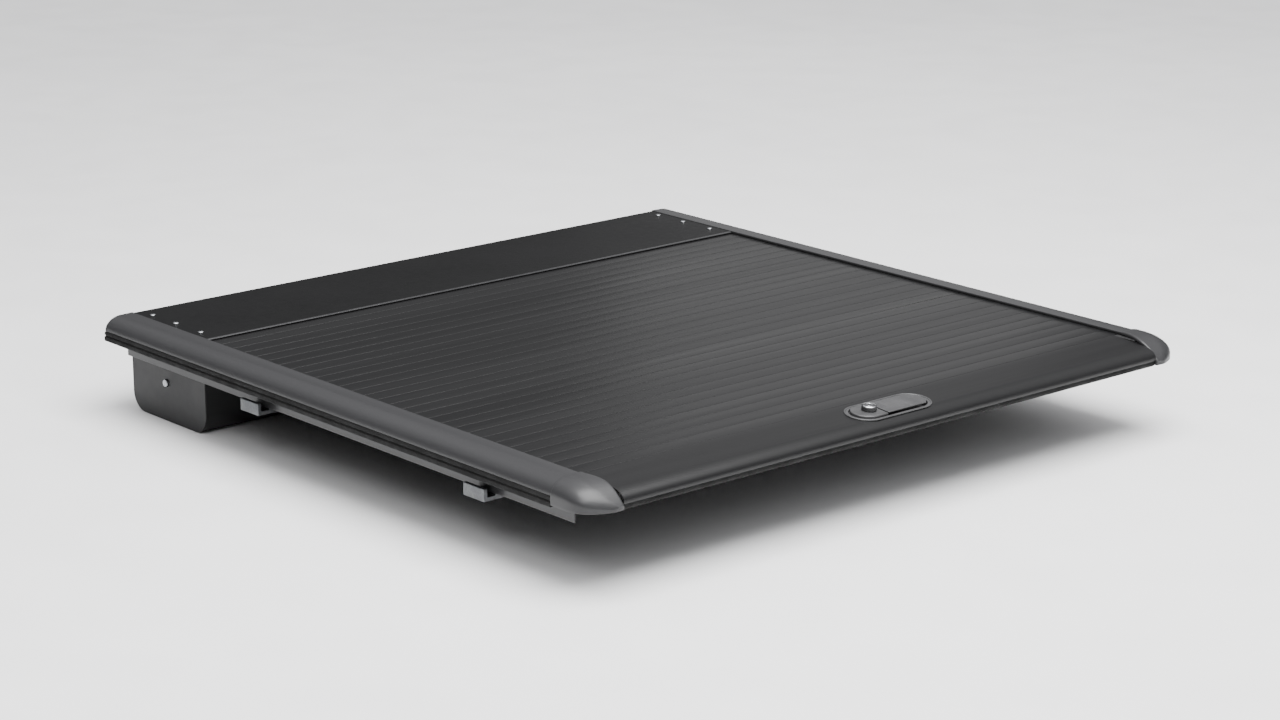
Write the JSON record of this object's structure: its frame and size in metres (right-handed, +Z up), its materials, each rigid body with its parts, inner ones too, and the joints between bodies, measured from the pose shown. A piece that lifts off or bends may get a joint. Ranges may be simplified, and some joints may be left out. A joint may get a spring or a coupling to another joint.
{
  "type": "tonneau cover",
  "caption": "Retractable roller tonneau cover for a pickup bed: slatted curtain with latched rear bar in crowned side rails, stored in a lidded canister at the cab end.",
  "frame": {"origin": "mid-width, at the tip of the rear bar, on the seat plane where the side rails rest on the truck's bed rails", "axes": "+X to the truck's right, +Y forward to the cab along the curtain's travel, +Z up"},
  "size_m": [1.536, 1.533, 0.2052],
  "materials": {
    "powder_coat": "satin black powder coat",
    "lid_coat": "satin black powder coat, fine texture",
    "rail_coat": "satin black powder coat, smooth",
    "slat_coat": "satin black powder coat",
    "black_plastic": "moulded, matt",
    "handle_plastic": "moulded, satin charcoal",
    "black_rubber": "extruded, matt",
    "zinc_plate": "bright zinc plate",
    "chrome": "polished",
    "mill_aluminium": "mill finish",
    "spring_steel": "oiled"
  },
  "bodies": {
    "frame": {"rail_left": "rail_coat", "rail_right": "rail_coat", "rail_seal_left": "black_rubber", "rail_seal_right": "black_rubber", "corner_cap_left": "rail_coat", "corner_cap_right": "rail_coat", "latch_striker_left": "powder_coat", "latch_striker_right": "powder_coat", "clamp_jaw_left_rear": "mill_aluminium", "clamp_bolt_left_rear": "zinc_plate", "clamp_jaw_left_front": "mill_aluminium", "clamp_bolt_left_front": "zinc_plate", "clamp_jaw_right_rear": "mill_aluminium", "clamp_bolt_right_rear": "zinc_plate", "clamp_jaw_right_front": "mill_aluminium", "clamp_bolt_right_front": "zinc_plate", "canister_trough": "powder_coat", "canister_end_left": "powder_coat", "canister_end_right": "powder_coat", "canister_lid": "lid_coat", "lid_screw_left_1": "zinc_plate", "lid_screw_left_2": "zinc_plate", "lid_screw_left_3": "zinc_plate", "lid_screw_right_1": "zinc_plate", "lid_screw_right_2": "zinc_plate", "lid_screw_right_3": "zinc_plate", "mouth_brush_seal": "black_rubber", "bulkhead_seal": "black_rubber", "drum_axle": "zinc_plate", "torsion_spring": "spring_steel"},
    "curtain": {"rear_bar": "powder_coat", "bar_lip_seal": "black_rubber", "bar_guide_left": "black_plastic", "bar_guide_right": "black_plastic", "handle_bezel": "handle_plastic", "paddle_pin": "zinc_plate", "slat_pair_01": "slat_coat", "slat_pair_02": "slat_coat", "slat_pair_03": "slat_coat"},
    "panel_2": {"slat_pair_04": "slat_coat", "slat_pair_05": "slat_coat", "slat_pair_06": "slat_coat"},
    "panel_3": {"slat_pair_07": "slat_coat", "slat_pair_08": "slat_coat", "slat_pair_09": "slat_coat"},
    "panel_4": {"slat_pair_10": "slat_coat", "slat_pair_11": "slat_coat", "slat_pair_12": "slat_coat"},
    "panel_5": {"slat_pair_13": "slat_coat", "slat_pair_14": "slat_coat", "slat_pair_15": "slat_coat"},
    "drum": {"drum_tube": "mill_aluminium", "drum_bush_left": "black_plastic", "drum_bush_right": "black_plastic"},
    "paddle": {"handle_paddle": "handle_plastic"},
    "lock": {"lock_cylinder": "chrome", "lock_cam": "zinc_plate"},
    "crank": {"latch_crank": "zinc_plate"},
    "bolt_left": {"latch_bolt_left": "zinc_plate"},
    "bolt_right": {"latch_bolt_right": "zinc_plate"}
  },
  "joints": [
    {"name": "curtain_slide", "type": "slide", "parent": "frame", "child": "curtain", "axis": [0, 1, 0], "range_m": [0, 1.1225]},
    {"name": "panel_2_slide", "type": "slide", "parent": "frame", "child": "panel_2", "axis": [0, 0.9999, -0.0116], "range_m": [0, 0.90276], "deforming": ["slat_pair_04", "slat_pair_05", "slat_pair_06"]},
    {"name": "panel_3_slide", "type": "slide", "parent": "frame", "child": "panel_3", "axis": [0, 0.9995, -0.0315], "range_m": [0, 0.66723], "deforming": ["slat_pair_07", "slat_pair_08", "slat_pair_09"]},
    {"name": "panel_4_slide", "type": "slide", "parent": "frame", "child": "panel_4", "axis": [0, 0.9973, -0.073], "range_m": [0, 0.43225], "deforming": ["slat_pair_10", "slat_pair_11", "slat_pair_12"]},
    {"name": "panel_5_slide", "type": "slide", "parent": "frame", "child": "panel_5", "axis": [0, 0.9775, -0.2108], "range_m": [0, 0.19978], "deforming": ["slat_pair_13", "slat_pair_14", "slat_pair_15"]},
    {"name": "drum_spin", "type": "hinge", "parent": "frame", "child": "drum", "pos_m": [0, 1.385, -0.07], "axis": [-1, 0, 0], "range_deg": [0, 1370], "deforming": ["torsion_spring"]},
    {"name": "paddle_lift", "type": "hinge", "parent": "curtain", "child": "paddle", "pos_m": [0, 0.08432, 0.03636], "axis": [-1, 0, 0], "range_deg": [0, 40], "stiffness_Nm_per_rad": 0.3, "springref_deg": -11.46},
    {"name": "lock_turn", "type": "hinge", "parent": "curtain", "child": "lock", "pos_m": [-0.05, 0.056, 0.03899], "axis": [0, 0.084, -0.9965], "range_deg": [0, 90]},
    {"name": "crank_turn", "type": "hinge", "parent": "curtain", "child": "crank", "pos_m": [0, 0.078, 0.017], "axis": [0, 0, -1], "range_deg": [0, 60.1]},
    {"name": "bolt_left_slide", "type": "slide", "parent": "curtain", "child": "bolt_left", "axis": [1, 0, 0], "range_m": [0, 0.014]},
    {"name": "bolt_right_slide", "type": "slide", "parent": "curtain", "child": "bolt_right", "axis": [-1, 0, 0], "range_m": [0, 0.014]}
  ],
  "couplings": [
    {"joint": "panel_2_slide", "follows": "curtain_slide", "ratio": 0.8038},
    {"joint": "panel_3_slide", "follows": "curtain_slide", "ratio": 0.59397},
    {"joint": "panel_4_slide", "follows": "curtain_slide", "ratio": 0.38463},
    {"joint": "panel_5_slide", "follows": "curtain_slide", "ratio": 0.17753},
    {"joint": "drum_spin", "follows": "curtain_slide", "rad_per_m": 21.277},
    {"joint": "crank_turn", "follows": "paddle_lift", "ratio": 1.5},
    {"joint": "bolt_left_slide", "follows": "paddle_lift", "m_per_rad": 0.017905},
    {"joint": "bolt_right_slide", "follows": "paddle_lift", "m_per_rad": 0.017905}
  ]
}
